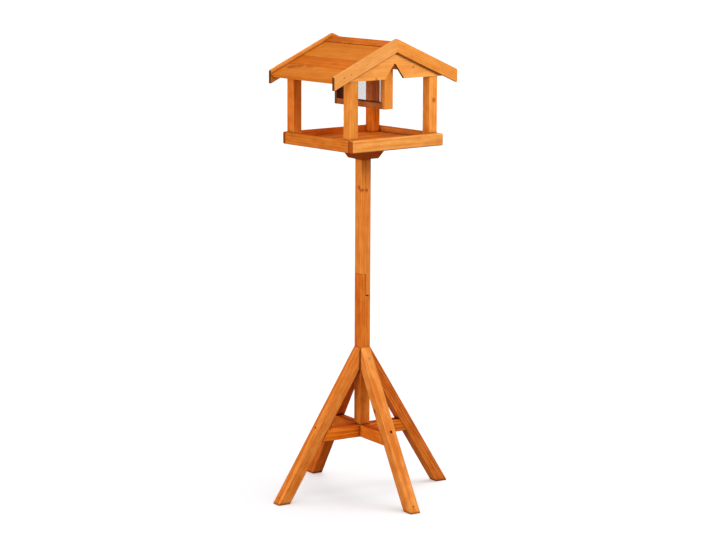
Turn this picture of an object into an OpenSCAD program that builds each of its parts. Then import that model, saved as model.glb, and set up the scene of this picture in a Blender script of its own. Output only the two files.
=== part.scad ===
// Wooden bird table: a roofed feeding tray with a hanging seed silo, on a square pole
// with four raking legs. +Z is up, the front gable faces -Y and the ridge runs along Y.
// The origin is on the floor, under the axis of the pole.

/* [Overall] */
// Height from the floor to the peak of the bargeboards
overall_h = 1180; // [1140:1:1260]
// Height of the house, from the underside of the tray rails to the peak
house_h = 275; // [255:1:300]
// Turn of the whole stand under the house
stand_turn = -8; // [-15:1:15]

/* [Roof] */
// Width across the tips of the bargeboards
roof_w = 402; // [370:1:440]
// Length over the outer faces of the bargeboards
roof_l = 260; // [236:1:300]
// Slope of the roof
roof_pitch = 22.9; // [20:0.1:26]
// Thickness of the roof planks
plank_t = 10; // [7:0.5:12]
// Thickness of the planks along the ridge
ridge_plank_t = 12; // [9.5:0.5:14]
// Width of the planks along the ridge
ridge_plank_w = 30; // [24:1:45]
// Width of the planks below them
upper_plank_w = 80; // [65:1:90]
// Width of the planks below those
middle_plank_w = 48; // [40:1:55]
// How far the planks stop short of the bargeboard tips
eave_setback = 1; // [0.5:0.5:8]
// Width of the bargeboards, square to the slope
barge_w = 30.5; // [26:0.5:36]
// Thickness of the bargeboards
barge_t = 9; // [7:0.5:12]
// Radius of the upper corner at the tips of the bargeboards
barge_round = 4; // [1:0.5:10]
// How far the bargeboards stand above the planks
barge_proud = 8; // [5:0.5:10]

/* [Gables] */
// Width of a gable panel at its foot
gable_w = 350; // [320:1:360]
// Drop from the peak to the lower edge of a gable panel
gable_drop = 100; // [90:1:112]
// Thickness of a gable panel
gable_t = 7; // [5:0.5:9]
// Width of the notch at its mouth
notch_w = 62; // [40:1:90]
// Height of the notch
notch_h = 38; // [25:1:48]
// Radius of the rounded top of the notch
notch_r = 4; // [2:0.5:8]

/* [Tray] */
// Width of the tray
tray_w = 297; // [280:1:320]
// Height of the rails
rail_h = 31; // [26:1:40]
// Thickness of the front rail
front_rail_t = 18; // [12:0.5:22]
// Thickness of the back rail
back_rail_t = 11; // [6:0.5:20]
// Thickness of the side rails
side_rail_t = 5.5; // [4:0.5:12]
// Thickness of the tray floor
floor_t = 9; // [6:0.5:12]
// How far the floor lies above the underside of the rails
floor_rise = 5; // [2:0.5:12]

/* [Posts] */
// Width of the square corner posts
post_w = 26.5; // [20:0.5:32]
// How far the front gable panel stands proud of the front posts
gable_proud = 1; // [0.5:0.5:3]

/* [Silo] */
// Width of the silo
silo_w = 27.5; // [22:0.5:44]
// Gap between the silo and the gables
silo_gap = 15.5; // [8:0.5:40]
// Drop from the underside of the roof to the foot of the silo
silo_drop = 158; // [120:1:175]
// Thickness of the end boards
silo_end_t = 9; // [6:0.5:12]
// Height of the side rails
silo_rail_h = 15; // [10:0.5:22]
// Thickness of the side rails
silo_rail_t = 4; // [3:0.5:6]
// Thickness of the base
silo_base_t = 6; // [4:0.5:9]
// Thickness of the clear sheets
window_t = 1.5; // [1:0.25:2.5]

/* [Pole] */
// Width of the square pole
pole_w = 30; // [24:0.5:34]
// Height of the lower shoulder of the joint between the two lengths of the pole
splice_z = 517; // [440:1:680]
// Length of the half lap in that joint
splice_l = 58; // [25:1:80]
// Gap left open at the lower shoulder
splice_gap = 2.5; // [0.5:0.5:4]
// Width of the socket block at its foot
block_foot_w = 56; // [48:1:66]
// Width of the socket block at its head
block_head_w = 98; // [80:1:120]
// Height of the socket block
block_h = 39; // [34:1:56]
// Depth of the socket for the pole
socket_depth = 30; // [16:1:32]

/* [Stand] */
// Width of the square legs
leg_w = 30; // [24:0.5:34]
// Reach of a foot from the axis of the pole
leg_reach = 257.5; // [220:0.5:290]
// Height at which the legs meet the pole
leg_top = 386; // [340:1:440]
// Width of the cross bars
cross_w = 28; // [22:0.5:32]
// Height of the cross bars
cross_h = 32; // [24:0.5:40]
// Height of the top of the cross bars
cross_top = 182; // [150:1:215]

/* [Hidden] */
$fn = 48;

pine = [0.86, 0.50, 0.20];
pine_light = [0.95, 0.64, 0.33];
pine_dark = [0.72, 0.36, 0.13];
acrylic = [0.88, 0.91, 0.94, 0.4];

slack = 1;                                   // cutters run this far past a face

// Heights of the house. Every upright length is measured down from the roof.
tray_z = overall_h - house_h;
roof_z = overall_h - barge_proud / cos(roof_pitch);
under_z = roof_z - plank_t / cos(roof_pitch);
gable_z = overall_h - gable_drop;
floor_z = tray_z + floor_rise + floor_t;
function slope_z(x, top) = top - abs(x) * tan(roof_pitch);

// Plan of the house. The gables close the roof just inside the bargeboards, and the posts
// carry them. The back posts reach out to the face of the bargeboards. The front and back
// rails of the tray lie against the posts.
gable_face = roof_l / 2 - barge_t;
post_x = tray_w / 2 - side_rail_t;           // outer faces of the posts
front_post_y = gable_face - gable_proud;
back_post_y = roof_l / 2;

// Planks, as distances down the slope from the ridge
upper_s = ridge_plank_w;
middle_s = upper_s + upper_plank_w;
eave_s = middle_s + middle_plank_w;
edge_s = (roof_w / 2 - eave_setback) / cos(roof_pitch);

// Silo, hung from the planks
silo_y = gable_face - gable_t - silo_gap;    // outer faces of its ends
silo_inner_y = silo_y - silo_end_t;
silo_z = under_z - silo_drop;
window_x = silo_w / 2 - silo_rail_t;         // outer faces of the clear sheets

// Pole and stand
block_z = tray_z + floor_rise - block_h;
pole_top = block_z + socket_depth;
leg_rake = atan((leg_reach - pole_w / 2) / leg_top); // lean of a leg from upright
leg_plan = leg_w / cos(leg_rake);            // length of a foot along the floor
function leg_out(z) = leg_reach - z * tan(leg_rake);

// A flat shape drawn in X and Z, made solid between two places along Y
module along_y(y0, y1) {
    translate([0, y1, 0]) rotate([90, 0, 0]) linear_extrude(y1 - y0) children();
}

// ---- Stand ----

// A leg as it rakes out along +X, cut plumb at the pole and level at the floor
module leg() {
    along_y(-leg_w / 2, leg_w / 2)
        polygon([
            [leg_reach, 0], [pole_w / 2, leg_top],
            [pole_w / 2, leg_top - leg_w / sin(leg_rake)], [leg_reach - leg_plan, 0]
        ]);
}

// A cross bar along X, its ends cut to the inner faces of the legs
module cross_bar() {
    foot_x = leg_out(cross_top - cross_h) - leg_plan;
    head_x = leg_out(cross_top) - leg_plan;
    along_y(-cross_w / 2, cross_w / 2)
        polygon([
            [-foot_x, cross_top - cross_h], [foot_x, cross_top - cross_h],
            [head_x, cross_top], [-head_x, cross_top]
        ]);
}

// Half of the crossing, taken out of a bar from z up
module cross_lap(z) {
    translate([-cross_w / 2, -cross_w / 2 - slack, z])
        cube([cross_w, cross_w + 2 * slack, cross_h / 2 + slack]);
}

module leg_right() { color(pine_dark) rotate(stand_turn) leg(); }
module leg_back() { color(pine_dark) rotate(stand_turn + 90) leg(); }
module leg_left() { color(pine) rotate(stand_turn + 180) leg(); }
module leg_front() { color(pine_light) rotate(stand_turn + 270) leg(); }

module cross_bar_side() {
    color(pine_dark) rotate(stand_turn) difference() {
        cross_bar();
        cross_lap(cross_top - cross_h / 2);
    }
}

module cross_bar_front() {
    color(pine_dark) rotate(stand_turn + 90) difference() {
        cross_bar();
        cross_lap(cross_top - cross_h - slack);
    }
}

// ---- Pole ----

// A length of square pole between two heights
module pole_length(z0, z1) {
    translate([-pole_w / 2, -pole_w / 2, z0]) cube([pole_w, pole_w, z1 - z0]);
}

// What a half lap takes out of the side of the pole towards +X, between two heights
module lap_waste(z0, z1) {
    translate([0, -pole_w / 2 - slack, z0])
        cube([pole_w / 2 + slack, pole_w + 2 * slack, z1 - z0]);
}

module pole_lower() {
    lap_top = splice_z + splice_l;
    color(pine) rotate(stand_turn) difference() {
        pole_length(cross_top, lap_top);
        lap_waste(splice_z, lap_top + slack);
    }
}

module pole_upper() {
    tongue_z = splice_z + splice_gap;
    color(pine) rotate(stand_turn) difference() {
        pole_length(tongue_z, pole_top);
        mirror([1, 0, 0]) lap_waste(tongue_z - slack, splice_z + splice_l);
    }
}

// Block under the tray, bevelled on all four sides, with a socket for the pole
module socket_block() {
    half = [[-block_foot_w / 2, block_z], [block_foot_w / 2, block_z],
            [block_head_w / 2, block_z + block_h], [-block_head_w / 2, block_z + block_h]];
    color(pine_dark) rotate(stand_turn) difference() {
        intersection() {
            along_y(-block_head_w / 2, block_head_w / 2) polygon(half);
            rotate(90) along_y(-block_head_w / 2, block_head_w / 2) polygon(half);
        }
        translate([-pole_w / 2, -pole_w / 2, block_z - slack])
            cube([pole_w, pole_w, socket_depth + slack]);
    }
}

// ---- Tray ----

module tray_floor() {
    color(pine_dark)
        translate([-post_x, -front_post_y, tray_z + floor_rise])
            cube([2 * post_x, front_post_y + back_post_y, floor_t]);
}

// A rail across the tray, its nearer face at y0
module end_rail(y0, thickness) {
    translate([-tray_w / 2, y0, tray_z]) cube([tray_w, thickness, rail_h]);
}

module side_rail() {
    translate([post_x, -front_post_y, tray_z])
        cube([side_rail_t, front_post_y + back_post_y, rail_h]);
}

module tray_rail_front() {
    color(pine_light) end_rail(-front_post_y - front_rail_t, front_rail_t);
}

module tray_rail_back() { color(pine_light) end_rail(back_post_y, back_rail_t); }
module tray_rail_right() { color(pine) side_rail(); }
module tray_rail_left() { color(pine) mirror([1, 0, 0]) side_rail(); }

// ---- Posts ----

// The post at the front right, its outer face at -face_y. Its head is cut to the roof and
// rebated for the gable.
module post(face_y) {
    x0 = post_x - post_w;
    rebate = face_y - gable_face + gable_t;
    difference() {
        along_y(-face_y, post_w - face_y)
            polygon([
                [x0, floor_z], [post_x, floor_z],
                [post_x, slope_z(post_x, under_z)], [x0, slope_z(x0, under_z)]
            ]);
        translate([x0 - slack, -face_y - slack, gable_z])
            cube([post_w + 2 * slack, rebate + slack, overall_h]);
    }
}

module post_front_right() { color(pine_light) post(front_post_y); }
module post_front_left() { color(pine_light) mirror([1, 0, 0]) post(front_post_y); }
module post_back_right() { color(pine) mirror([0, 1, 0]) post(back_post_y); }
module post_back_left() { color(pine) rotate(180) post(back_post_y); }

// ---- Gables and bargeboards ----

// Notch with straight sides that run into a round top
module notch() {
    mouth = notch_w / 2;
    rise = notch_h - notch_r;
    turn = atan2(-rise, mouth) + acos(notch_r / norm([mouth, rise]));
    side = [notch_r * cos(turn), rise + notch_r * sin(turn)];
    translate([0, gable_z]) {
        polygon([
            [-mouth, -slack], [mouth, -slack], [mouth, 0],
            [side[0], side[1]], [-side[0], side[1]], [-mouth, 0]
        ]);
        translate([0, rise]) circle(notch_r);
    }
}

module gable() {
    x = gable_w / 2;
    along_y(-gable_face, gable_t - gable_face) difference() {
        polygon([
            [-x, gable_z], [x, gable_z], [x, slope_z(x, under_z)],
            [0, under_z], [-x, slope_z(x, under_z)]
        ]);
        notch();
    }
}

// Bargeboard of the right-hand slope, with its upper corner rounded at the tip
module bargeboard() {
    x = roof_w / 2;
    depth = barge_w / cos(roof_pitch);
    round_x = x - barge_round;
    round_z = slope_z(round_x, overall_h) - barge_round / cos(roof_pitch);
    turn = 90 - roof_pitch;
    tip = [for (i = [0:6]) [
        round_x + barge_round * cos(turn * (1 - i / 6)),
        round_z + barge_round * sin(turn * (1 - i / 6))
    ]];
    along_y(-roof_l / 2, barge_t - roof_l / 2)
        polygon(concat(
            [[0, overall_h]], tip, [[x, slope_z(x, overall_h) - depth], [0, overall_h - depth]]
        ));
}

module gable_front() { color(pine_light) gable(); }
module gable_back() { color(pine_light) mirror([0, 1, 0]) gable(); }
module bargeboard_front_right() { color(pine_light) bargeboard(); }
module bargeboard_front_left() { color(pine_light) mirror([1, 0, 0]) bargeboard(); }
module bargeboard_back_right() { color(pine_light) mirror([0, 1, 0]) bargeboard(); }
module bargeboard_back_left() {
    color(pine_light) mirror([1, 0, 0]) mirror([0, 1, 0]) bargeboard();
}

// ---- Roof planks ----

// A shape drawn in the right-hand slope: X runs down from the ridge along the top of
// the planks, and Y stands square to it
module on_slope() {
    along_y(-gable_face, gable_face) translate([0, roof_z]) rotate(-roof_pitch) children();
}

module plank(s0, s1) {
    on_slope() translate([s0, -plank_t]) square([s1 - s0, plank_t]);
}

// The ridge planks stand proud of the rest, and meet each other in a plumb mitre
module ridge_plank() {
    rise = ridge_plank_t - plank_t;
    on_slope()
        polygon([
            [-rise * tan(roof_pitch), rise], [upper_s, rise],
            [upper_s, -plank_t], [plank_t * tan(roof_pitch), -plank_t]
        ]);
}

module upper_plank() { plank(upper_s, middle_s); }
module middle_plank() { plank(middle_s, eave_s); }
module eave_plank() { plank(eave_s, edge_s); }

module ridge_plank_right() { color(pine_dark) ridge_plank(); }
module ridge_plank_left() { color(pine_dark) mirror([1, 0, 0]) ridge_plank(); }
module upper_plank_right() { color(pine) upper_plank(); }
module upper_plank_left() { color(pine) mirror([1, 0, 0]) upper_plank(); }
module middle_plank_right() { color(pine_dark) middle_plank(); }
module middle_plank_left() { color(pine_dark) mirror([1, 0, 0]) middle_plank(); }
module eave_plank_right() { color(pine) eave_plank(); }
module eave_plank_left() { color(pine) mirror([1, 0, 0]) eave_plank(); }

// ---- Silo ----

// Board that closes one end of the silo, pointed to fit under the ridge
module silo_end() {
    x = silo_w / 2;
    along_y(-silo_y, silo_end_t - silo_y)
        polygon([
            [-x, silo_z], [x, silo_z], [x, slope_z(x, under_z)],
            [0, under_z], [-x, slope_z(x, under_z)]
        ]);
}

module silo_rail() {
    translate([window_x, -silo_inner_y, silo_z])
        cube([silo_rail_t, 2 * silo_inner_y, silo_rail_h]);
}

module silo_base() {
    color(pine_dark)
        translate([-window_x, -silo_inner_y, silo_z])
            cube([2 * window_x, 2 * silo_inner_y, silo_base_t]);
}

// Clear sheet behind a side rail, standing on the base and reaching the roof
module silo_window() {
    x0 = window_x - window_t;
    foot = silo_z + silo_base_t;
    along_y(-silo_inner_y, silo_inner_y)
        polygon([
            [x0, foot], [window_x, foot],
            [window_x, slope_z(window_x, under_z)], [x0, slope_z(x0, under_z)]
        ]);
}

module silo_end_front() { color(pine_light) silo_end(); }
module silo_end_back() { color(pine_light) mirror([0, 1, 0]) silo_end(); }
module silo_rail_right() { color(pine_dark) silo_rail(); }
module silo_rail_left() { color(pine_dark) mirror([1, 0, 0]) silo_rail(); }
module silo_window_right() { color(acrylic) silo_window(); }
module silo_window_left() { color(acrylic) mirror([1, 0, 0]) silo_window(); }

leg_left();
leg_right();
leg_front();
leg_back();
cross_bar_side();
cross_bar_front();
pole_lower();
pole_upper();
socket_block();
tray_floor();
tray_rail_front();
tray_rail_back();
tray_rail_left();
tray_rail_right();
post_front_left();
post_front_right();
post_back_left();
post_back_right();
gable_front();
gable_back();
bargeboard_front_left();
bargeboard_front_right();
bargeboard_back_left();
bargeboard_back_right();
ridge_plank_left();
ridge_plank_right();
upper_plank_left();
upper_plank_right();
middle_plank_left();
middle_plank_right();
eave_plank_left();
eave_plank_right();
silo_end_front();
silo_end_back();
silo_rail_left();
silo_rail_right();
silo_base();
silo_window_left();
silo_window_right();
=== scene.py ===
# %% [markdown]
# # A wooden bird table in stained pine
# A roofed feeding tray stands on a square pole with four raking legs, and a slim seed
# silo with clear sides hangs under the ridge. Every main board is made from the CAD
# model's own solid, so nothing is measured twice. This lesson loads that model, eases the
# edges of each board as a planing machine does, and then builds one material for pine
# that follows the grain of each piece.

# %% Load the frame
import math
import random

import bmesh
import bpy
from mathutils import Matrix, Vector


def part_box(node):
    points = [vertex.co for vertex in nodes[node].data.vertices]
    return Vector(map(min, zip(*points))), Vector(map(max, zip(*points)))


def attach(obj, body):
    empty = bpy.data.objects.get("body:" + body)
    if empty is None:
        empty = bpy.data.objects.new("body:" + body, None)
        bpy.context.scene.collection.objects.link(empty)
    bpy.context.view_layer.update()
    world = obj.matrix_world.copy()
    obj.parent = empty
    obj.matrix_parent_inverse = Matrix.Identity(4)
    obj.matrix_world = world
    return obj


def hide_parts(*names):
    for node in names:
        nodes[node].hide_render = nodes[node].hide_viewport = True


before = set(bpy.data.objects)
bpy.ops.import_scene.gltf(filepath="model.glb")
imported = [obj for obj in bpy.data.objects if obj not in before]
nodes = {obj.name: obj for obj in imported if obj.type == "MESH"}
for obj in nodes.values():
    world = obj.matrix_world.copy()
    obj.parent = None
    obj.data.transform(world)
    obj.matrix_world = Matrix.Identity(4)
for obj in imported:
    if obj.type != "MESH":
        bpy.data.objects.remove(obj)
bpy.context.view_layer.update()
MM = 0.001

# %% [markdown]
# ## The camera
# The view is a long lens from eye height, six metres away, looking a little down on the
# roof and turned 40 degrees to the left of the front gable. A long lens keeps the legs and
# the roof nearly free of perspective, as in a catalogue picture.

# %% Camera
def into_scene(name, data):
    """A new object in the scene, at the origin."""
    thing = bpy.data.objects.new(name, data)
    bpy.context.collection.objects.link(thing)
    return thing


AIM = Vector((0, 0, 0.590))
DISTANCE = 6.233
YAW, PITCH, ROLL = (math.radians(a) for a in (40.01, 9.56, 0.28))
LENS, SHIFT = 122.7, (-0.0064, -0.0039)

forward = Vector((
    math.sin(YAW) * math.cos(PITCH), math.cos(YAW) * math.cos(PITCH), -math.sin(PITCH)
))
level = Vector((math.cos(YAW), -math.sin(YAW), 0))
over = level.cross(forward)
right = level * math.cos(ROLL) + over * math.sin(ROLL)
up = over * math.cos(ROLL) - level * math.sin(ROLL)

camera = into_scene("camera", bpy.data.cameras.new("camera"))
camera.data.lens = LENS
camera.data.shift_x, camera.data.shift_y = SHIFT
camera.data.clip_end = 100
camera.matrix_world = Matrix((right, up, -forward)).transposed().to_4x4()
camera.location = AIM - forward * DISTANCE
bpy.context.scene.camera = camera
print("camera at", [round(v, 3) for v in camera.location])

# %% [markdown]
# ## Helpers for materials
# Colours are written as the sRGB hex values that a colour picker gives, and one function
# turns them to the linear values that the renderer mixes. One more function adds a node
# with its settings and links, so that each material reads as a list of what it is made of,
# and a third starts a material.

# %% Colours and nodes
def linear(code):
    """The linear colour, opaque, of an sRGB hex code such as "C8742E"."""
    shades = [int(code[i : i + 2], 16) / 255 for i in (0, 2, 4)]
    return (*[s / 12.92 if s <= 0.04045 else ((s + 0.055) / 1.055) ** 2.4 for s in shades], 1.0)


def add(tree, kind, inputs=None, stops=(), **settings):
    """A new node in tree. Inputs are values or other nodes' sockets, by name or number.

    Stops are the positions and colours of a colour ramp.
    """
    node = tree.nodes.new(kind)
    for name, value in settings.items():
        setattr(node, name, value)
    for key, value in (inputs or {}).items():
        socket = node.inputs[key]
        if isinstance(value, bpy.types.NodeSocket):
            tree.links.new(value, socket)
        else:
            socket.default_value = value
    if stops:
        marks = node.color_ramp.elements
        for _ in stops[2:]:
            marks.new(0.5)
        for mark, (position, colour) in zip(marks, stops):
            mark.position = position
            mark.color = colour
    return node


def new_finish(name):
    """A new material, its node tree and the inputs of its surface."""
    material = bpy.data.materials.new(name)
    material.use_nodes = True
    tree = material.node_tree
    return material, tree, tree.nodes["Principled BSDF"].inputs


# %% [markdown]
# ## The studio
# The floor is plain paper, lit until it is white, so only the softest part of a shadow
# shows on it. The camera sees a white backdrop. The table itself is lit by four broad
# panels, a soft sun and a dimmer sky, darkest and warmest below the horizon, so the
# underside of the tray and the inside of the roof take their light from the wood around.

# %% Floor and sky
bpy.ops.mesh.primitive_plane_add(size=120)
floor = bpy.context.object
floor.name = "floor"
paper, _, sheet = new_finish("pale_paper")
sheet["Base Color"].default_value = linear("F4F7FA")
sheet["Roughness"].default_value = 0.9
sheet["Specular IOR Level"].default_value = 0.0
sheet["Emission Color"].default_value = linear("FFFFFF")
sheet["Emission Strength"].default_value = 0.4
floor.data.materials.append(paper)
floor.visible_diffuse = False
floor.visible_glossy = False

scene = bpy.context.scene
scene.view_settings.view_transform = "Standard"
world = bpy.data.worlds.new("studio")
scene.world = world
world.use_nodes = True
sky = world.node_tree
background = sky.nodes["Background"]
direction = add(sky, "ShaderNodeTexCoord").outputs["Generated"]
heights = add(sky, "ShaderNodeSeparateXYZ", {0: direction})
glow = add(
    sky, "ShaderNodeValToRGB", {0: heights.outputs["Z"]},
    stops=[(0.0, linear("C4B09C")), (0.02, linear("A8A29A")), (0.6, linear("E4E4E4"))],
)
seen = add(sky, "ShaderNodeLightPath").outputs["Is Camera Ray"]
shown = add(
    sky, "ShaderNodeMix", {0: seen, 6: glow.outputs["Color"], 7: linear("FFFFFF")}, data_type="RGBA"
)
sky.links.new(shown.outputs[2], background.inputs["Color"])
power = add(sky, "ShaderNodeMapRange", {"Value": seen, "To Min": 0.6, "To Max": 1.0})
sky.links.new(power.outputs[0], background.inputs["Strength"])
print("floor", round(floor.dimensions.x), "m wide,", len(sky.nodes), "nodes in the sky")


# %% Light panels
def panel(name, azimuth, height, away, size, power, colour):
    """A square light panel that faces the table. Azimuth 0 stands in front of the gable."""
    light = bpy.data.lights.new(name, "AREA")
    light.shape = "SQUARE"
    light.size = size
    light.energy = power
    light.color = linear(colour)[:3]
    lamp = into_scene(name, light)
    turn = math.radians(azimuth)
    lamp.location = (away * math.sin(turn), -away * math.cos(turn), height)
    lamp.rotation_euler = (lamp.location - AIM).to_track_quat("Z", "Y").to_euler()


panel("key", 6, 2.1, 1.8, 0.8, 35, "FFF8F0")
panel("fill", -84, 0.9, 2.0, 1.2, 30, "FFF0E0")
panel("bounce", -42, 1.5, 3.0, 1.6, 22, "FFE0C0")
panel("back", 160, 2.2, 3.2, 1.6, 45, "FFF4E8")
bpy.data.objects["back"].visible_glossy = False

top = into_scene("top", bpy.data.lights.new("top", "SUN"))
top.data.energy = 1.0
top.data.angle = math.radians(45)
top.rotation_euler = Vector((0.25, -0.1, 1)).to_track_quat("Z", "Y").to_euler()
top.visible_glossy = False

# The panels light the table and not the paper, so that they cast no shadow on it.
unlit = bpy.data.collections.new("not_lit_by_panels")
unlit.objects.link(floor)
unlit.collection_objects[0].light_linking.link_state = "EXCLUDE"
for name in ("key", "fill", "bounce", "back"):
    bpy.data.objects[name].light_linking.receiver_collection = unlit
print("lights:", ", ".join(light.name for light in bpy.data.lights))

# %% [markdown]
# ## Boards with eased edges
# Sawn and planed timber has no knife edges: the planer takes them off, and the stain
# wears thin there. Each CAD node is a sharp solid, so each board starts as a copy of its
# node. The loose triangles are merged, every outward edge is rounded by a small bevel,
# and each point remembers whether it lies on an arris, for the material to use later.
# A bevel in mesh code is chosen over a modifier because it hands back its own faces.

# %% Ease a board
SHARPEST = math.radians(20)


def eased(name, along, radius, end_radius):
    """A copy of a CAD node as a bmesh, its outward edges rounded: first those along the grain."""
    board = bmesh.new()
    board.from_mesh(nodes[name].data)
    bmesh.ops.remove_doubles(board, verts=board.verts, dist=0.01 * MM)
    flat = math.radians(0.5)
    bmesh.ops.dissolve_limit(board, angle_limit=flat, verts=board.verts, edges=board.edges)
    rounded = board.faces.layers.int.new("rounded")
    for lengthwise, size, segments in ((True, radius, 3), (False, end_radius, 2)):
        board.normal_update()
        chosen = [
            e for e in board.edges
            if e.is_convex and e.calc_face_angle(0) > SHARPEST
            and lengthwise == (abs((e.verts[1].co - e.verts[0].co).normalized().dot(along)) > 0.99)
            and not all(face[rounded] for face in e.link_faces)
        ]
        cut = bmesh.ops.bevel(
            board, geom=chosen, offset=size * MM, offset_type="OFFSET", segments=segments,
            profile=0.5, affect="EDGES", clamp_overlap=True,
        )
        for face in cut["faces"]:
            face[rounded] = 1
    arris = board.verts.layers.float.new("arris")
    for point in board.verts:
        point[arris] = float(all(face[rounded] for face in point.link_faces))
    return board


def piece_from(solid, name):
    """An object made from a bmesh, which is then freed."""
    mesh = bpy.data.meshes.new(name)
    solid.to_mesh(mesh)
    solid.free()
    return into_scene(name, mesh)


def grain_frame(name, along=None):
    """The board's own axes as a matrix: X along the grain and Z through its broad face."""
    solid = bmesh.new()
    solid.from_mesh(nodes[name].data)
    bmesh.ops.remove_doubles(solid, verts=solid.verts, dist=0.01 * MM)
    edges = [e.verts[1].co - e.verts[0].co for e in solid.edges]
    if along is None:
        square = [e for e, s in zip(edges, solid.edges) if s.calc_face_angle(0) > SHARPEST]
        along = max(square, key=lambda v: round(v.length, 5))
    along = Vector(along).normalized()
    if max(along, key=abs) < 0:
        along.negate()
    areas = {}
    for face in solid.faces:
        if abs(face.normal.dot(along)) < 0.1:
            facing = tuple(round(abs(c), 2) for c in face.normal)
            total, normal = areas.get(facing, (0, face.normal.copy()))
            areas[facing] = (total + face.calc_area(), normal)
    broad = max(areas.values(), key=lambda pair: round(pair[0], 7))[1]
    if max(broad, key=abs) < 0:
        broad.negate()
    broad = (broad - along * broad.dot(along)).normalized()
    middle = sum((v.co for v in solid.verts), Vector()) / len(solid.verts)
    solid.free()
    axes = Matrix((along, broad.cross(along), broad)).transposed().to_4x4()
    axes.translation = middle
    return axes


# %% [markdown]
# ## Stained pine
# The timber is pine, planed and dipped in an orange stain, with a satin varnish over it.
# Its figure comes from the tree: rings round a pith that lies some way off the board,
# fibres that run along it, and knots where branches grew. One pattern in the board's
# own coordinates gives all three, so that the figure turns the corner from face to face
# as in a real plank. It is built from node groups: one measures the distance from the
# pith, one adds a knot, and one turns the distance into colour, roughness and relief.


# %% Node groups
def group(name, inputs, outputs, use="ShaderNodeTree"):
    """An empty node group and its inputs. Inputs and outputs map names to kinds of socket."""
    tree = bpy.data.node_groups.new(name, use)
    for way, sockets in (("INPUT", inputs), ("OUTPUT", outputs)):
        for socket, kind in sockets.items():
            tree.interface.new_socket(socket, in_out=way, socket_type="NodeSocket" + kind)
    return tree, add(tree, "NodeGroupInput").outputs


# %% [markdown]
# The distance from the pith is a plain radius, bent by slow noise that is long along the
# grain and short across it. The pith leans a little, so a flat-sawn face shows the long
# pointed arches that joiners call cathedrals.

# %% Distance from the pith, in millimetres
PER_METRE = 1000
SLOW_BEND, QUICK_BEND = ((1.6, 9, 9), 12), ((9, 55, 55), 1.8)
pith_group, given = group(
    "distance_from_pith",
    {"Point": "Vector", "Pith": "Vector", "Lean": "Float", "Seed": "Vector"},
    {"Distance": "Float"},
)
away = add(
    pith_group, "ShaderNodeVectorMath", {0: given["Point"], 1: given["Pith"]}, operation="SUBTRACT"
)
parts = add(pith_group, "ShaderNodeSeparateXYZ", {0: away.outputs[0]}).outputs
leaning = add(
    pith_group, "ShaderNodeMath", {0: parts["X"], 1: given["Lean"], 2: parts["Y"]},
    operation="MULTIPLY_ADD",
)
across = add(pith_group, "ShaderNodeCombineXYZ", {"Y": leaning.outputs[0], "Z": parts["Z"]})
radius = add(pith_group, "ShaderNodeVectorMath", {0: across.outputs[0]}, operation="LENGTH")
distance = add(
    pith_group, "ShaderNodeMath", {0: radius.outputs["Value"], 1: PER_METRE}, operation="MULTIPLY"
).outputs[0]
moved = add(
    pith_group, "ShaderNodeVectorMath", {0: given["Point"], 1: given["Seed"]}, operation="ADD"
).outputs[0]
for stretch, reach in (SLOW_BEND, QUICK_BEND):
    place = add(pith_group, "ShaderNodeVectorMath", {0: moved, 1: stretch}, operation="MULTIPLY")
    bend = add(
        pith_group, "ShaderNodeTexNoise", {"Vector": place.outputs[0], "Scale": 1, "Detail": 1}
    )
    distance = add(
        pith_group, "ShaderNodeMath",
        {0: bend.outputs[0], 1: reach, 2: distance},
        operation="MULTIPLY_ADD",
    ).outputs[0]
add(pith_group, "NodeGroupOutput", {"Distance": distance})
print(len(pith_group.nodes), "nodes measure the distance from the pith")

# %% [markdown]
# A knot is a branch that the trunk grew around. It runs from its centre along one
# direction. Near it the rings swell outwards, and inside it the wood is dark, with a
# darker rim of bark. Knots are chained: each takes the distance and the darkness so far
# and passes them on.

# %% A knot
knot_group, given = group(
    "knot",
    {
        "Point": "Vector", "Distance": "Float", "Knot": "Float", "Centre": "Vector",
        "Branch": "Vector", "Radius": "Float", "Darkness": "Float", "Oval": "Float",
        "Depth": "Float",
    },
    {"Distance": "Float", "Knot": "Float"},
)
away = add(
    knot_group, "ShaderNodeVectorMath",
    {0: given["Point"], 1: given["Centre"]},
    operation="SUBTRACT",
).outputs[0]
along = add(knot_group, "ShaderNodeVectorMath", {0: away, 1: given["Branch"]}, operation="PROJECT")
away = add(
    knot_group, "ShaderNodeVectorMath", {0: away, 1: along.outputs[0]}, operation="SUBTRACT"
).outputs[0]
inside = add(
    knot_group, "ShaderNodeVectorMath", {0: along.outputs[0]}, operation="LENGTH"
).outputs["Value"]
inside = add(
    knot_group, "ShaderNodeMapRange",
    {"Value": inside, "From Min": 4 * MM, "From Max": given["Depth"], "To Min": 1, "To Max": 0},
).outputs[0]
shrink = add(knot_group, "ShaderNodeCombineXYZ", {"X": given["Oval"], "Y": 1, "Z": 1})
away = add(
    knot_group, "ShaderNodeVectorMath", {0: away, 1: shrink.outputs[0]}, operation="MULTIPLY"
).outputs[0]
ragged = add(
    knot_group, "ShaderNodeTexNoise", {"Vector": given["Point"], "Scale": 160, "Detail": 1}
)
length = add(knot_group, "ShaderNodeVectorMath", {0: away}, operation="LENGTH").outputs["Value"]
length = add(
    knot_group, "ShaderNodeMath", {0: length, 1: PER_METRE}, operation="MULTIPLY"
).outputs[0]
reach = add(
    knot_group, "ShaderNodeMath", {0: length, 1: given["Radius"]}, operation="DIVIDE"
).outputs[0]
reach = add(
    knot_group, "ShaderNodeMath", {0: ragged.outputs[0], 1: 0.5, 2: reach}, operation="MULTIPLY_ADD"
).outputs[0]
swell = add(
    knot_group, "ShaderNodeMapRange",
    {"Value": reach, "From Min": 0.6, "From Max": 3.2, "To Min": 1.5, "To Max": 0},
    interpolation_type="SMOOTHSTEP",
)
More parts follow.
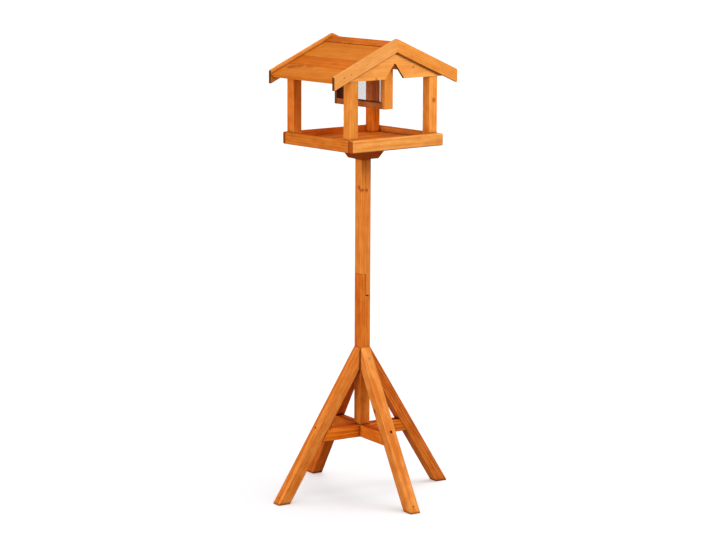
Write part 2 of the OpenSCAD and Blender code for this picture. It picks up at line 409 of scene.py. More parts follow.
swell = add(knot_group, "ShaderNodeMath", {0: swell.outputs[0], 1: inside}, operation="MULTIPLY")
bulge = add(
    knot_group, "ShaderNodeMath", {0: swell.outputs[0], 1: given["Radius"], 2: given["Distance"]},
    operation="MULTIPLY_ADD",
)
heart_to_bark = [(0.0, 1.0), (0.2, 0.75), (0.42, 0.6), (0.56, 0.85), (0.72, 0.3), (1.0, 0.0)]
scaled = add(knot_group, "ShaderNodeMath", {0: reach, 1: 0.45}, operation="MULTIPLY")
dark = add(
    knot_group, "ShaderNodeValToRGB", {0: scaled.outputs[0]},
    stops=[(at, (v, v, v, 1)) for at, v in heart_to_bark],
)
dark = add(
    knot_group, "ShaderNodeMath", {0: dark.outputs[0], 1: given["Darkness"]}, operation="MULTIPLY"
)
dark = add(knot_group, "ShaderNodeMath", {0: dark.outputs[0], 1: inside}, operation="MULTIPLY")
worst = add(
    knot_group, "ShaderNodeMath", {0: dark.outputs[0], 1: given["Knot"]}, operation="MAXIMUM"
)
add(knot_group, "NodeGroupOutput", {"Distance": bulge.outputs[0], "Knot": worst.outputs[0]})
print(len(knot_group.nodes), "nodes make a knot")

# %% [markdown]
# Pine's rings are two to four millimetres wide. They are drawn 4.6 mm wide here, because
# finer ones would vanish at this distance. Each ring darkens slowly through the summer
# wood and ends abruptly, which gives the eye the direction of growth. Streaks 3 mm wide
# stand for bundles of fibres, and broad soft bands for stain that soaked in unevenly.
# End grain drinks more stain, so it is dark and matt. On an arris the stain is thin.
# Painted shade darkens the arrises that face down, the feet where they meet the floor
# and the tops of the cross bars, which lie in the shade of the legs and the tray.

# %% The inputs of the figure, and its noises
RING = 4.6
figure, given = group(
    "pine_figure",
    {
        "Point": "Vector", "Distance": "Float", "Knot": "Float",
        "Seed": "Vector", "Grain": "Vector",
        "Pale": "Color", "Deep": "Color", "Knot colour": "Color", "End colour": "Color",
        "Contrast": "Float", "Top shade": "Float", "Corner shade": "Float",
    },
    {"Colour": "Color", "Roughness": "Float", "Height": "Float"},
)
moved = add(
    figure, "ShaderNodeVectorMath", {0: given["Point"], 1: given["Seed"]}, operation="ADD"
).outputs[0]
noises = {}
for what, stretch, detail in (
    ("drift", (1.1, 24, 24), 0), ("streaks", (7, 300, 300), 3), ("bands", (2.4, 22, 22), 1),
    ("pores", (55, 900, 900), 1), ("stain", (30, 60, 60), 2),
):
    place = add(figure, "ShaderNodeVectorMath", {0: moved, 1: stretch}, operation="MULTIPLY")
    noise = add(
        figure, "ShaderNodeTexNoise", {"Vector": place.outputs[0], "Scale": 1, "Detail": detail}
    )
    noises[what] = noise.outputs[0]
print("noises:", ", ".join(noises))

# %% Rings, from the distance
rings = add(
    figure, "ShaderNodeMath", {0: given["Distance"], 1: RING}, operation="DIVIDE"
).outputs[0]
rings = add(
    figure, "ShaderNodeMath", {0: noises["drift"], 1: 2.5, 2: rings}, operation="MULTIPLY_ADD"
).outputs[0]
year = add(figure, "ShaderNodeMath", {0: rings}, operation="FRACT").outputs[0]
summer = [(0.0, 0.25), (0.12, 0.0), (0.45, 0.12), (0.82, 0.9), (0.93, 1.0), (1.0, 0.25)]
late = add(
    figure, "ShaderNodeValToRGB", {0: year}, stops=[(at, (v, v, v, 1)) for at, v in summer]
).outputs[0]
print("rings drawn", RING, "mm wide")

# %% How deep the stain is, as weights on the rings and the noises
depth = 0.0
for what, middle, weight in (
    ("late", 0.35, 0.5), ("streaks", 0.5, 1.7), ("bands", 0.5, 1.2), ("stain", 0.5, 1.6),
):
    source = late if what == "late" else noises[what]
    part = add(figure, "ShaderNodeMath", {0: source, 1: middle}, operation="SUBTRACT").outputs[0]
    depth = add(
        figure, "ShaderNodeMath", {0: part, 1: weight, 2: depth}, operation="MULTIPLY_ADD"
    ).outputs[0]
depth = add(
    figure, "ShaderNodeMath",
    {0: depth, 1: given["Contrast"], 2: 0.45},
    operation="MULTIPLY_ADD", use_clamp=True,
).outputs[0]
colour = add(
    figure, "ShaderNodeMix", {0: depth, 6: given["Pale"], 7: given["Deep"]}, data_type="RGBA"
).outputs[2]
print("stain:", len(figure.nodes), "nodes so far")

# %% Pores, knots and end grain
pores = add(
    figure, "ShaderNodeMapRange",
    {"Value": noises["pores"], "From Min": 0.6, "From Max": 0.72, "To Min": 0, "To Max": 0.25},
).outputs[0]
colour = add(
    figure, "ShaderNodeMix", {0: pores, 6: colour, 7: given["End colour"]}, data_type="RGBA"
).outputs[2]
colour = add(
    figure, "ShaderNodeMix",
    {0: given["Knot"], 6: colour, 7: given["Knot colour"]},
    data_type="RGBA",
).outputs[2]
normal = add(figure, "ShaderNodeTexCoord").outputs["Normal"]
facing = add(
    figure, "ShaderNodeVectorMath", {0: normal, 1: given["Grain"]}, operation="DOT_PRODUCT"
)
facing = add(
    figure, "ShaderNodeMath", {0: facing.outputs["Value"]}, operation="ABSOLUTE"
).outputs[0]
end = add(
    figure, "ShaderNodeMapRange",
    {"Value": facing, "From Min": 0.45, "From Max": 0.8, "To Min": 0, "To Max": 0.9},
    interpolation_type="SMOOTHSTEP",
).outputs[0]
colour = add(
    figure, "ShaderNodeMix", {0: end, 6: colour, 7: given["End colour"]}, data_type="RGBA"
).outputs[2]
print("pores, knots and ends:", len(figure.nodes), "nodes so far")

# %% Arrises, and painted shade under edges, at the feet and on the bars' tops
arris = add(figure, "ShaderNodeAttribute", attribute_name="arris").outputs["Fac"]
worn = add(figure, "ShaderNodeMath", {0: arris, 1: 0.15}, operation="MULTIPLY").outputs[0]
colour = add(
    figure, "ShaderNodeMix", {0: worn, 6: colour, 7: given["Pale"]}, data_type="RGBA"
).outputs[2]
slope = add(figure, "ShaderNodeSeparateXYZ", {0: normal}).outputs["Z"]
# Painted shade on the arrises that face down, mixed towards the end colour.
under_shade = add(
    figure, "ShaderNodeMapRange",
    {"Value": slope, "From Min": -0.2, "From Max": -0.6, "To Min": 0, "To Max": 0.75},
).outputs[0]
under_shade = add(figure, "ShaderNodeMath", {0: under_shade, 1: arris}, operation="MULTIPLY").outputs[0]
# Painted shade at the feet: the lowest 7 mm of the stand darken towards the end colour.
height = add(
    figure, "ShaderNodeSeparateXYZ", {0: add(figure, "ShaderNodeTexCoord").outputs["Object"]}
).outputs["Z"]
foot_shade = add(
    figure, "ShaderNodeMapRange",
    {"Value": height, "From Min": 2 * MM, "From Max": 7 * MM, "To Min": 0.6, "To Max": 0},
).outputs[0]
dark = add(figure, "ShaderNodeMath", {0: under_shade, 1: foot_shade}, operation="MAXIMUM").outputs[0]
colour = add(
    figure, "ShaderNodeMix", {0: dark, 6: colour, 7: given["End colour"]}, data_type="RGBA"
).outputs[2]
# Painted shade on the upward faces of the cross bars, whose tops lie under the legs and the tray.
top_shade = add(
    figure, "ShaderNodeMapRange",
    {"Value": slope, "From Min": 0.6, "From Max": 0.9, "To Min": 0, "To Max": given["Top shade"]},
).outputs[0]
colour = add(
    figure, "ShaderNodeMix",
    {0: top_shade, 6: colour, 7: linear("E0B080")},
    data_type="RGBA", blend_type="MULTIPLY",
).outputs[2]
print("wear and painted shade:", len(figure.nodes), "nodes so far")

# %% Painted shade in the corners, varnish and relief
# Ambient occlusion paints shade into corners, joints and gaps, multiplying the colour towards the
# end colour.
open_air = add(figure, "ShaderNodeAmbientOcclusion", {"Distance": 9 * MM}, samples=6).outputs["AO"]
corner_shade = add(
    figure, "ShaderNodeMapRange",
    {"Value": open_air, "From Min": 0.25, "From Max": 0.95, "To Min": given["Corner shade"], "To Max": 0},
).outputs[0]
colour = add(
    figure, "ShaderNodeMix",
    {0: corner_shade, 6: colour, 7: given["End colour"]},
    data_type="RGBA", blend_type="MULTIPLY",
).outputs[2]
rough = add(
    figure, "ShaderNodeMath", {0: noises["streaks"], 1: 0.25, 2: 0.44}, operation="MULTIPLY_ADD"
).outputs[0]
rough = add(
    figure, "ShaderNodeMath", {0: end, 1: 0.25, 2: rough}, operation="MULTIPLY_ADD"
).outputs[0]
relief = add(
    figure, "ShaderNodeMath", {0: late, 1: 0.5, 2: noises["streaks"]}, operation="MULTIPLY_ADD"
).outputs[0]
relief = add(
    figure, "ShaderNodeMath", {0: pores, 1: -2.0, 2: relief}, operation="MULTIPLY_ADD"
).outputs[0]
add(figure, "NodeGroupOutput", {"Colour": colour, "Roughness": rough, "Height": relief})
print(len(figure.nodes), "nodes draw the figure of the wood")


# %% [markdown]
# Each board gets a material of its own, because no two boards of one table were
# neighbours in the tree. The material places the board in its log, chains the knots that
# show on it, and mixes two colours of its own. The colours differ partly because the stain
# took more on some boards than on others, and partly as painted shade, darker on boards
# that stand in shade.

# %% A board's material
KNOT_COLOUR = linear("8A3404")
# End grain takes these colours, and the painted shade under edges, at the feet and in corners is
# mixed towards them.
END_COLOUR = linear("7A3810")
DARK_END_COLOUR = linear("4A1E08")
RED_END_COLOUR = linear("933A06")
# How deep a knot goes and how high the grain stands, in millimetres
KNOT_DEPTH, GRAIN_RELIEF = 9, 0.35
# How far the pith lies from the board's middle, in metres, and how much it leans
PITH_AWAY, MOST_LEAN = (0.035, 0.075), 0.05
# Boards whose corners get little painted shade, and how much
FAINT_SHADE_BOARDS = (
    "tray_floor", "tray_rail_back", "silo_rail_left", "silo_rail_right", "silo_guides_front",
)
FAINT_CORNER_SHADE = 0.1


def pine(name, axes, colours, knots, contrast, seed, end_colour=END_COLOUR):
    """Stained pine for one board. Knots are (point, outward direction, radius, darkness, oval)."""
    draw = random.Random(seed)
    offset = Vector((draw.uniform(0, 40), draw.uniform(0, 40), draw.uniform(0, 40)))
    turn = draw.uniform(0, math.tau)
    far = draw.uniform(*PITH_AWAY)
    pith = Vector((0, far * math.cos(turn), far * math.sin(turn)))
    material, tree, surface = new_finish("stained_pine_" + name)
    point = add(
        tree, "ShaderNodeMapping",
        {
            "Vector": add(tree, "ShaderNodeTexCoord").outputs["Object"],
            "Location": axes.translation, "Rotation": axes.to_euler(),
        },
        vector_type="TEXTURE",
    ).outputs[0]
    distance = add(
        tree, "ShaderNodeGroup",
        {
            "Point": point, "Pith": pith, "Seed": offset,
            "Lean": draw.uniform(-MOST_LEAN, MOST_LEAN),
        },
        node_tree=pith_group,
    )
    so_far = {"Distance": distance.outputs["Distance"], "Knot": 0.0}
    inward = axes.to_3x3().transposed()
    # Knots are chained here, with the few marks that paint shadows at the joints of the stand.
    for where, outward, radius, darkness, oval in knots:
        settings = {
            "Point": point, "Centre": inward @ (Vector(where) * MM - axes.translation),
            "Branch": inward @ Vector(outward), "Radius": radius,
            "Darkness": darkness, "Oval": oval, "Depth": KNOT_DEPTH * MM,
        }
        knot = add(tree, "ShaderNodeGroup", {**settings, **so_far}, node_tree=knot_group)
        so_far = {"Distance": knot.outputs["Distance"], "Knot": knot.outputs["Knot"]}
    pale, deep = colours
    look = {
        "Point": point, "Seed": offset, "Grain": axes.to_3x3().col[0], "Pale": linear(pale),
        "Deep": linear(deep), "Knot colour": KNOT_COLOUR, "End colour": end_colour,
        "Contrast": contrast, "Top shade": float(name.startswith("cross_bar")),
        "Corner shade": FAINT_CORNER_SHADE if name in FAINT_SHADE_BOARDS else 1.0,
    }
    wood = add(tree, "ShaderNodeGroup", {**look, **so_far}, node_tree=figure)
    tree.links.new(wood.outputs["Colour"], surface["Base Color"])
    tree.links.new(wood.outputs["Roughness"], surface["Roughness"])
    bump = add(
        tree, "ShaderNodeBump",
        {"Height": wood.outputs["Height"], "Strength": 0.5, "Distance": GRAIN_RELIEF * MM},
    )
    tree.links.new(bump.outputs["Normal"], surface["Normal"])
    surface["IOR"].default_value = 1.48
    surface["Specular IOR Level"].default_value = 0.06
    return material


# %% [markdown]
# ## The boards of the table
# Every board is eased by the amount that shows on the real ones: about 2 mm on the stand,
# the pole and the posts, 2 to 3.5 mm on the tray rails that hands and birds rub, and 1 mm
# on thin boards. Each line gives a board's pale colour, its deep colour, the radius of its
# long edges and the strength of its figure. Knots are placed one by one where they show, and
# by a seeded draw on some of the other boards.
# Three of the listed marks are no knots but painted shadows at the joints of the stand.

# %% Which board is what
# The darker colours of the back rail, the block under the tray, the back of the silo and the legs
# are partly painted shade.
BOARDS = {
    "leg_left": ("D5883F", "BB651F", 2.6, 1.2),
    "leg_front": ("DB934B", "C16D26", 2.6, 1.2),
    "leg_right": ("DA7D31", "B95918", 2.6, 1.2),
    "leg_back": ("D66F24", "B54F10", 2.6, 1.2),
    "cross_bar_side": ("DF7F24", "BC5B10", 1.8, 1.4),
    "cross_bar_front": ("DE8028", "BC5B12", 1.8, 1.0),
    "pole_lower": ("D67F30", "BA5C18", 2.4, 0.9),
    "pole_upper": ("DA8D42", "C06921", 2.4, 0.8),
    "socket_block": ("B35921", "93390E", 1.5, 0.8),
    "tray_floor": ("F28A22", "CC6414", 1.0, 1.0),
    "tray_rail_front": ("E0A159", "C87B2D", 3.5, 0.8),
    "tray_rail_back": ("D87024", "B8560E", 3.5, 0.9),
    "tray_rail_left": ("C87A2E", "AD5816", 2.2, 0.9),
    "tray_rail_right": ("E89A50", "CE7A2C", 2.2, 0.9),
    "post_front_left": ("D48E44", "BD6D20", 1.8, 0.8),
    "post_front_right": ("ECA75A", "D2802C", 1.8, 0.9),
    "post_back_left": ("D98033", "B85C19", 1.8, 0.8),
    "post_back_right": ("F08B2B", "D06515", 1.8, 0.9),
    "gable_front": ("E7A65B", "D08439", 0.8, 0.6),
    "gable_back": ("E7A65B", "D08439", 0.8, 0.8),
    "bargeboard_front_left": ("DDA05E", "C8823C", 1.3, 0.45),
    "bargeboard_front_right": ("DF994B", "C97A30", 1.3, 0.7),
    "bargeboard_back_left": ("E19546", "C97221", 1.3, 0.9),
    "bargeboard_back_right": ("DE9549", "C8762E", 1.3, 0.8),
    "ridge_plank_left": ("CC6E17", "A65008", 1.2, 1.0),
    "ridge_plank_right": ("D87718", "B75609", 1.2, 0.9),
    "upper_plank_left": ("CF7D27", "B25F15", 1.0, 0.5),
    "upper_plank_right": ("D5842E", "B85F17", 1.0, 0.8),
    "middle_plank_left": ("CC6E17", "A65008", 1.0, 0.6),
    "middle_plank_right": ("DA8224", "BD5F11", 1.0, 0.8),
    "eave_plank_left": ("CB7827", "AD5D15", 1.0, 0.5),
    "eave_plank_right": ("DF944A", "C77224", 1.0, 0.8),
    "silo_end_front": ("E09847", "CA7628", 1.0, 0.4),
    "silo_end_back": ("894C1B", "6D350F", 1.0, 0.8),
    "silo_rail_left": ("B06C3E", "8C4A20", 1.0, 0.8),
    "silo_rail_right": ("B06C3E", "8C4A20", 1.0, 0.8),
    "silo_base": ("B06C3E", "8C4A20", 1.0, 0.8),
}
END_RADIUS = {
    "cross_bar_side": 4.0, "cross_bar_front": 4.0, "tray_rail_front": 3.0, "tray_rail_back": 3.0,
    "leg_left": 2.6, "leg_front": 2.6, "leg_right": 2.6, "leg_back": 2.6,
    "bargeboard_front_left": 2.2, "bargeboard_front_right": 2.2,
    "bargeboard_back_left": 2.2, "bargeboard_back_right": 2.2,
}
THIN_END_RADIUS = 1.2
DARK_ENDS = ("gable", "bargeboard", "plank")
ACROSS = (1, 0, 0)
GRAIN = {"gable_front": ACROSS, "gable_back": ACROSS, "tray_floor": ACROSS}
print(len(BOARDS), "boards,", len(END_RADIUS), "of them with ends eased by hand")

# %% Knots that are listed one by one, in millimetres
# Besides knots, three marks here paint shadows: thin streaks in the gaps where the cross bars meet
# the left and front legs, and a wide faint patch of the left leg's shadow on the front cross bar.
TURN = math.radians(8)
left = (-math.cos(TURN), math.sin(TURN), 0)
front = (-math.sin(TURN), -math.cos(TURN), 0)
PITCH_OF_ROOF = math.radians(22.9)
on_roof = (-math.sin(PITCH_OF_ROOF), 0, math.cos(PITCH_OF_ROOF))
KNOTS_AND_PAINTED_SHADOWS = {
    "pole_upper": [
        ((-14.3, -2.8, 797), left, 4.4, 1.0, 1.1), ((-14.3, -10, 791), left, 3.2, 1.0, 1.0),
        ((-0.6, -14, 790), front, 3.2, 1.0, 1.0),
    ],
    # The second mark on this leg paints the shadow in the gap where the cross bar meets it.
    "leg_front": [
        ((-26, -82, 232), left, 4.4, 1.0, 0.9), ((-31.0, -113.6, 168), left, 3.0, 1.0, 0.22),
    ],
    "gable_front": [
        ((61, -121, 1106.6), (0, -1, 0), 3.0, 0.5, 0.7),
        ((-60, -121, 1083), (0, -1, 0), 2.5, 0.7, 1.0),
    ],
    "post_front_right": [((131, -120, 1020), (0, -1, 0), 3.6, 0.9, 0.85)],
    "eave_plank_left": [
        ((-158.5, 89, 1104), on_roof, 7, 0.8, 0.6), ((-152, 68, 1107), on_roof, 5, 0.8, 0.5),
        ((-149, 31, 1108.5), on_roof, 4, 0.6, 0.4),
    ],
    # A wide faint mark paints the left leg's shadow on this bar, and the next the shadow in the gap
    # where the side bar meets the left leg.
    "cross_bar_front": [((-5.1, 71.4, 166), left, 14, 0.6, 0.3)],
    "leg_left": [((-118.6, 1.6, 166), front, 2.2, 1.0, 0.2)],
}
print(sum(len(spots) for spots in KNOTS_AND_PAINTED_SHADOWS.values()), "knots on", len(KNOTS_AND_PAINTED_SHADOWS), "boards")


# %% Make the boards
# Boards whose broad faces show little from the front
UNSEEN = {
    "leg_right", "leg_back", "post_back_right", "gable_back", "bargeboard_back_right",
    "silo_end_back", "tray_rail_back", "tray_rail_right", "upper_plank_right",
    "middle_plank_right", "eave_plank_right", "cross_bar_front",
}
SHORT_BOARD = 120


def strewn(name, axes, draw):
    """A knot or two on the broad faces of a board, or none if the board is short."""
    size = [a - b for a, b in zip(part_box(name)[1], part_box(name)[0])]
    count = 0 if max(size) < SHORT_BOARD * MM else draw.choice((1, 1, 2))
    inward = axes.to_3x3()
    spots = []
    for _ in range(count):
        along = draw.uniform(-0.4, 0.4) * max(size)
        side = draw.choice((-1, 1))
        across = draw.uniform(-0.3, 0.3) * min(size)
        spot = axes.translation + inward.col[0] * along + inward.col[1] * across
        outward = inward.col[2] * side
        knot = (draw.uniform(2.2, 4.0), draw.uniform(0.4, 0.8), draw.uniform(0.5, 0.8))
        spots.append((spot / MM, outward, *knot))
    return spots


made = {}
for order, (name, (pale, deep, radius, contrast)) in enumerate(BOARDS.items()):
    axes = grain_frame(name, GRAIN.get(name))
    end_radius = END_RADIUS.get(name, min(radius, THIN_END_RADIUS))
    piece = piece_from(eased(name, axes.to_3x3().col[0], radius, end_radius), name + "_board")
    piece.data.shade_smooth()
    knots = list(KNOTS_AND_PAINTED_SHADOWS.get(name, []))
    if name in UNSEEN:
        knots += strewn(name, axes, random.Random(100 + order))
    ends = END_COLOUR
    if name.startswith(DARK_ENDS):
        ends = DARK_END_COLOUR
    elif name == "tray_rail_front":
        ends = RED_END_COLOUR
    piece.data.materials.append(pine(name, axes, (pale, deep), knots, contrast, order, ends))
    made[name] = piece
print(len(made), "boards,", sum(len(p.data.polygons) for p in made.values()), "faces")

# %% [markdown]
# ## Screws in the legs
# A screw sunk in the outer face ties each leg to its cross bar, deeper on the front and
# back legs, which also have a pale, shallow one into the foot of the pole. A small hole near
# the foot takes a peg for the lawn. The holes are really cut, with a boolean, because a
# dark dot painted on the wood would look flat from close by.

# %% Where the holes are
PEG_Z, BAR_Z, POLE_Z = 17, 187, 357
# Holes as radius and depth, and how far a head lies from its hole's floor and wall
PEG_HOLE, POLE_HOLE = (1.7, 5), (4.2, 0.8)
DEEP_HOLE, SHALLOW_HOLE = (3.6, 4), (2.8, 1.4)
HEAD_ABOVE_FLOOR, HEAD_FROM_WALL = 0.4, 0.2


def on_leg(name, height):
    """The middle of a leg's outer face at a height, and that face's outward direction."""
    face = max(nodes[name].data.polygons, key=lambda f: (f.normal.z > 0.3, f.area))
    along = grain_frame(name).to_3x3().col[0]
    edge = [nodes[name].data.vertices[i].co for i in face.vertices]
    side = along.cross(face.normal).normalized()
    points = [
        v.co for v in nodes[name].data.vertices
        if abs((v.co - edge[0]).dot(face.normal)) < 0.01 * MM
    ]
    middle = sum(points, Vector()) / len(points)
    low, high = min(p.dot(side) for p in points), max(p.dot(side) for p in points)
    middle += side * ((low + high) / 2 - middle.dot(side))
    return middle + along * ((height * MM - middle.z) / along.z), face.normal.copy()


def bore(piece, places):
    """Cut round holes into a piece. Places are (point, outward direction, radius, depth)."""
    drill = bmesh.new()
    for point, outward, radius, depth in places:
        turn = outward.to_track_quat("Z", "Y").to_matrix().to_4x4()
        sink = Matrix.Translation(point) @ turn
        bmesh.ops.create_cone(
            drill, segments=20, radius1=radius * MM, radius2=radius * MM, depth=2 * depth * MM,
            cap_ends=True, matrix=sink,
        )
    cutter = piece_from(drill, "drill")
    cut = piece.modifiers.new("holes", "BOOLEAN")
    cut.object, cut.solver = cutter, "EXACT"
    return cutter


drills, bar_screws, pole_screws = [], [], []
for name in ("leg_left", "leg_front", "leg_right", "leg_back"):
    foot, bar, pole = (on_leg(name, z) for z in (PEG_Z, BAR_Z, POLE_Z))
    crosswise = name in ("leg_front", "leg_back")
    width, depth = DEEP_HOLE if crosswise else SHALLOW_HOLE
    holes = [(*foot, *PEG_HOLE), (*bar, width, depth)]
    sunk = bar[1] * (depth - HEAD_ABOVE_FLOOR) * MM
    bar_screws.append((bar[0] - sunk, bar[1], width - HEAD_FROM_WALL))
    if crosswise:
        holes.append((*pole, *POLE_HOLE))
        pole_screws.append((pole[0] - pole[1] * 0.5 * MM, pole[1], POLE_HOLE[0] - HEAD_FROM_WALL))
    drills.append(bore(made[name], holes))
print(len(bar_screws), "holes at the bars,", len(pole_screws), "at the pole")

# %% Settle every modifier into its mesh
for piece in made.values():
    piece.modifiers.new("level faces", "WEIGHTED_NORMAL").keep_sharp = True
view_layer = bpy.context.evaluated_depsgraph_get()
for piece in made.values():
    settled = bpy.data.meshes.new_from_object(piece.evaluated_get(view_layer))
    piece.modifiers.clear()
    piece.data = settled
for cutter in drills:
    bpy.data.objects.remove(cutter)
print(len(drills), "legs drilled,", sum(len(p.data.polygons) for p in made.values()), "faces")

# %% [markdown]
# A screw head is a disc with a cross-shaped recess. One head is made in mesh code, and
# Geometry Nodes set a copy on each point of a cloud that also carries the direction in
# which the head looks. The nails of the bargeboards come from the same tree, with a
# plain head.


# %% A screw head and a nail head
def head(name, recessed):
    """A disc of unit radius that looks along Z, its rim rounded. A recess is cross-shaped."""
    disc = bmesh.new()
    sides, top = 24, 0.1
    rings = []
    for radius, height in ((1, -0.4), (1, 0), (0.92, top)):
        rings.append([
            disc.verts.new((radius * math.cos(a), radius * math.sin(a), height))
            for a in (math.tau * i / sides for i in range(sides))
        ])
    for low, high in zip(rings, rings[1:]):
        for i in range(sides):
            disc.faces.new((low[i - 1], low[i], high[i], high[i - 1]))
    disc.faces.new(reversed(rings[0]))
    rim = [disc.edges.get((rings[2][i - 1], rings[2][i])) for i in range(sides)]
    if recessed:
        wide, long, bottom, taper = 0.14, 0.62, -0.3, 0.8
        corners = [(long, -wide), (long, wide), (wide, wide)]
        cross = []
        for quarter in range(4):
            c, s = ((1, 0), (0, 1), (-1, 0), (0, -1))[quarter]
            cross += [disc.verts.new((x * c - y * s, x * s + y * c, top)) for x, y in corners]
        deep = [disc.verts.new((v.co.x * taper, v.co.y * taper, bottom)) for v in cross]
        lips = [disc.edges.new((cross[i - 1], cross[i])) for i in range(12)]
        for i in range(12):
            disc.faces.new((cross[i - 1], cross[i], deep[i], deep[i - 1]))
        disc.faces.new(deep)
        bmesh.ops.triangle_fill(disc, edges=rim + lips, use_beauty=True)
    else:
        disc.faces.new(rings[2])
    bmesh.ops.recalc_face_normals(disc, faces=disc.faces)
    return piece_from(disc, name)


# %% [markdown]
# The screws of the pole are steel with a thin plate of yellow zinc, which keeps a soft
# sheen. Those of the bars and the nails have stood in the rain: rust and oxide leave them
# brown, rough and hardly metallic. Fine noise dulls each of them unevenly.

# %% Metals
def metal(name, code, roughness, metallic):
    """A metal finish, dulled by fine noise, which mixes in the colour times itself."""
    material, tree, surface = new_finish(name)
    where = add(tree, "ShaderNodeTexCoord").outputs["Object"]
    dull = add(tree, "ShaderNodeTexNoise", {"Vector": where, "Scale": 900, "Detail": 2}).outputs[0]
    clean = linear(code)
    shade = add(
        tree, "ShaderNodeMix", {0: dull, 6: clean, 7: clean}, data_type="RGBA",
        blend_type="MULTIPLY",
    )
    tree.links.new(shade.outputs[2], surface["Base Color"])
    rough = add(
        tree, "ShaderNodeMath", {0: dull, 1: 0.3, 2: roughness - 0.15}, operation="MULTIPLY_ADD"
    )
    tree.links.new(rough.outputs[0], surface["Roughness"])
    surface["Metallic"].default_value = metallic
    return material


yellow_zinc = metal("yellow_zinc_plate", "C8A878", 0.45, 0.8)
rusted_nail = metal("oxidised_nail", "7A4C28", 0.7, 0.2)
rusted_screw = metal("rusted_screw", "6E2E14", 0.7, 0.2)
print("metals:", yellow_zinc.name, rusted_nail.name, rusted_screw.name)

# %% Heads on points, with Geometry Nodes
heads_tree, given = group(
    "heads_on_points",
    {"Points": "Geometry", "Head": "Object", "Finish": "Material"}, {"Heads": "Geometry"},
    "GeometryNodeTree",
)
looks = add(
    heads_tree, "GeometryNodeInputNamedAttribute", {0: "outward"}, data_type="FLOAT_VECTOR"
).outputs[0]
size = add(
    heads_tree, "GeometryNodeInputNamedAttribute", {0: "size"}, data_type="FLOAT"
).outputs[0]
turned = add(
    heads_tree, "FunctionNodeAlignRotationToVector", {"Vector": looks}, axis="Z"
).outputs[0]
shape = add(heads_tree, "GeometryNodeObjectInfo", {"Object": given["Head"]}).outputs["Geometry"]
placed = add(
    heads_tree, "GeometryNodeInstanceOnPoints",
    {"Points": given["Points"], "Instance": shape, "Rotation": turned, "Scale": size},
).outputs[0]
real = add(heads_tree, "GeometryNodeRealizeInstances", {0: placed}).outputs[0]
dressed = add(
    heads_tree, "GeometryNodeSetMaterial", {"Geometry": real, "Material": given["Finish"]}
)
add(heads_tree, "NodeGroupOutput", {"Heads": dressed.outputs[0]})


def set_heads(name, places, shape, finish):
    """One piece with a head at each of places: (point, outward direction, radius in mm)."""
    cloud = bpy.data.meshes.new(name)
    cloud.from_pydata([p for p, _, _ in places], [], [])
    cloud.attributes.new("outward", "FLOAT_VECTOR", "POINT")
    cloud.attributes.new("size", "FLOAT", "POINT")
    for i, (_, direction, radius) in enumerate(places):
        cloud.attributes["outward"].data[i].vector = direction
        cloud.attributes["size"].data[i].value = radius * MM
    piece = into_scene(name, cloud)
    tree = piece.modifiers.new("heads", "NODES")
    tree.node_group = heads_tree
    for socket, value in (("Head", shape), ("Finish", finish)):
        tree[heads_tree.interface.items_tree[socket].identifier] = value
    ready = piece.evaluated_get(bpy.context.evaluated_depsgraph_get())
    piece.data = bpy.data.meshes.new_from_object(ready)
    piece.data.shade_flat()
    piece.modifiers.clear()
    print(name, len(places), "heads,", len(piece.data.polygons), "faces")
    return piece


# %% Screws and nails
NAIL_RADIUS = 1.6
NAIL_PLACES = ((170.2, 1092.0), (146.8, 1098.5))
board_face = abs(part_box("bargeboard_front_right")[0].y)
nails = []
for side in (-1, 1):
    for x, z in NAIL_PLACES:
        spot = Vector((side * x * MM, side * board_face, z * MM))
        nails.append((spot, Vector((0, side, 0)), NAIL_RADIUS))
cross_head, round_head = head("cross_head", True), head("round_head", False)
fastenings = {
    "pole_screws": set_heads("pole_screws", pole_screws, cross_head, yellow_zinc),
    "bar_screws": set_heads("bar_screws", bar_screws, cross_head, rusted_screw),
    "bargeboard_nails": set_heads("bargeboard_nails", nails, round_head, rusted_nail),
}
for thing in (cross_head, round_head):
    bpy.data.objects.remove(thing)
for piece in fastenings.values():
    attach(piece, "root")

# %% [markdown]
# ## Guides and a shim
# Four strips inside the silo's ends hold the clear sheets against their rails. A shim
# closes the open end of the half lap, where two lengths of pole meet and the joiner left
# a little room. Both are small blocks with eased edges.

# %% Small blocks of pine
def block(solid, low, high):
    """Add a block with eased edges, between two corners in millimetres."""
    middle, size = (Vector(low) + Vector(high)) / 2, Vector(high) - Vector(low)
    place = Matrix.Translation(middle * MM) @ Matrix.Diagonal((*(size * MM), 1))
    new = bmesh.ops.create_cube(solid, size=1, matrix=place)
    edges = list({e for v in new["verts"] for e in v.link_edges})
    bmesh.ops.bevel(solid, geom=edges, offset=0.5 * MM, segments=2, profile=0.5, affect="EDGES")


def small_piece(name, blocks, turn, colours, order):
    """One piece of pine made from blocks, turned about the pole's axis, its grain upright."""
    solid = bmesh.new()
    for low, high in blocks:
        block(solid, low, high)
    bmesh.ops.rotate(solid, verts=solid.verts, cent=(0, 0, 0), matrix=Matrix.Rotation(turn, 3, "Z"))
    piece = piece_from(solid, name)
    axes = Matrix(((0, 0, 1), (0, 1, 0), (-1, 0, 0))).transposed().to_4x4()
    piece.data.materials.append(pine(name, axes, colours, [], 0.6, order))
    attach(piece, "root")


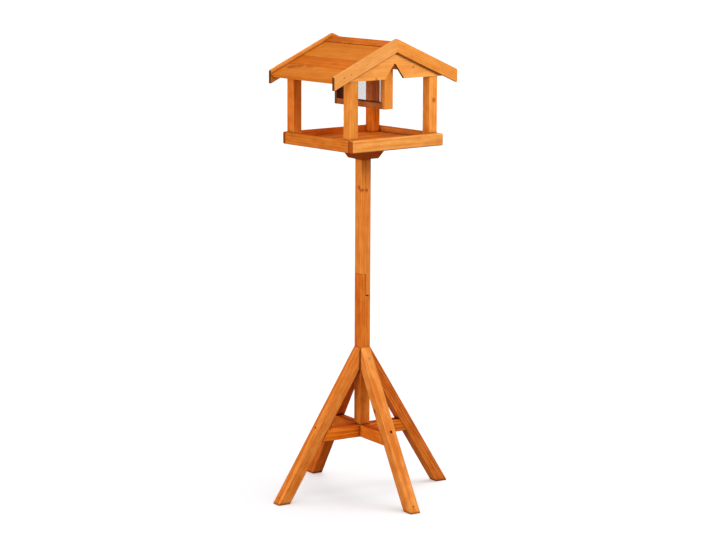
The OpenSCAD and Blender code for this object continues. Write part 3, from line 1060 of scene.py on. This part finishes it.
GUIDE_THICKNESS, GUIDE_WIDTH, GUIDE_TOP = 4.5, 14, 1150
pane_low, pane_high = (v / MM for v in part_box("silo_window_left"))
inner = pane_high.x + GUIDE_THICKNESS
for name, y0, colours, order in (
    # The front strips are painted paler, as painted light inside the silo where little light
    # reaches.
    ("silo_guides_front", pane_low.y, ("F4B070", "D89050"), 60),
    ("silo_guides_back", pane_high.y - GUIDE_WIDTH, ("A06028", "70401C"), 62),
):
    strips = []
    for x0, x1 in ((pane_high.x, inner), (-inner, -pane_high.x)):
        strips.append(((x0, y0, pane_low.z), (x1, y0 + GUIDE_WIDTH, GUIDE_TOP)))
    small_piece(name, strips, 0, colours, order)
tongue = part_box("pole_upper")[0].z / MM
# The shim's faces, from the pole's axis outwards, its half width and its depths in the gap
SHIM_INNER, SHIM_OUTER, SHIM_HALF, SHIM_LOW, SHIM_HIGH = 8, 14.6, 14.5, 2.4, 0.1
shim = (
    (SHIM_INNER, -SHIM_HALF, tongue - SHIM_LOW), (SHIM_OUTER, SHIM_HALF, tongue - SHIM_HIGH),
)
small_piece("lap_shim", [shim], -TURN, BOARDS["pole_upper"][:2], 61)
print("guides and shim made")

# %% Hand the boards over
for name, piece in made.items():
    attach(piece, "root")
    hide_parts(name)
print(len(made), "boards handed over")

# %% [markdown]
# ## The clear sides of the silo
# The seed shows through two sheets of clear acrylic, polished on their faces and sawn at
# their edges. Acrylic is nearly invisible face on: only a faint cool tint and the
# reflection of the sky give it away. So the faces are almost transparent, and the sawn
# edges, which scatter light, are more solid.

# %% Acrylic
def acrylic(name, code, alpha, roughness):
    """Clear cast acrylic. The rougher its surface, the more light it scatters."""
    material, _, surface = new_finish(name)
    surface["Base Color"].default_value = linear(code)
    surface["Alpha"].default_value = alpha
    surface["IOR"].default_value = 1.49
    surface["Roughness"].default_value = roughness
    return material


polished_face = acrylic("clear_acrylic", "4C4844", 0.11, 0.06)
sawn_edge = acrylic("sawn_acrylic_edge", "8C7868", 0.7, 0.45)
print("acrylic:", polished_face.name, sawn_edge.name)

# %% The two sheets
SHEET_EDGE = 0.25
for name in ("silo_window_left", "silo_window_right"):
    sheet = eased(name, Vector((0, 1, 0)), SHEET_EDGE, SHEET_EDGE)
    broad = grain_frame(name, (0, 1, 0)).to_3x3().col[2]
    for face in sheet.faces:
        face.material_index = int(abs(face.normal.dot(broad)) < 0.9)
    pane = piece_from(sheet, name + "_sheet")
    pane.data.materials.append(polished_face)
    pane.data.materials.append(sawn_edge)
    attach(pane, "root")
    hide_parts(name)
    print(name, len(pane.data.polygons), "faces")
